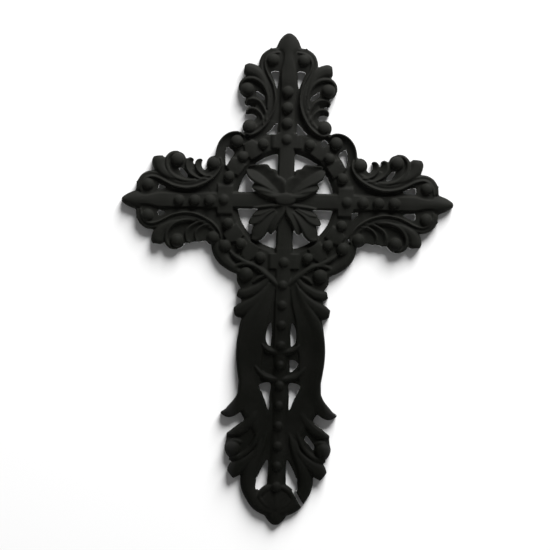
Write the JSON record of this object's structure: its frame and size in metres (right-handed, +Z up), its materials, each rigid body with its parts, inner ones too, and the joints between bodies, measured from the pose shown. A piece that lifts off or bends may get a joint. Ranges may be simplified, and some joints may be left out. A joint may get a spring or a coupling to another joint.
{
  "type": "crucifix",
  "caption": "Openwork ornamental cross with a beaded ring and four leaves at its crossing, scrolled arm ends and a long leafed shaft, flat behind, for fixing to a wall or grave marker.",
  "frame": {"origin": "on the flat back, behind the boss where the bars cross, at the wall mount", "axes": "+Z up the top arm, +X to the viewer's right, the worked face towards -Y and the flat back towards +Y"},
  "size_m": [0.284, 0.0155, 0.421],
  "materials": {
    "cast_iron": "matt blackened cast iron with a dull sheen on the high parts and brown dust in the hollows"
  },
  "bodies": {
    "root": {"cross_casting": "cast_iron"}
  },
  "joints": []
}
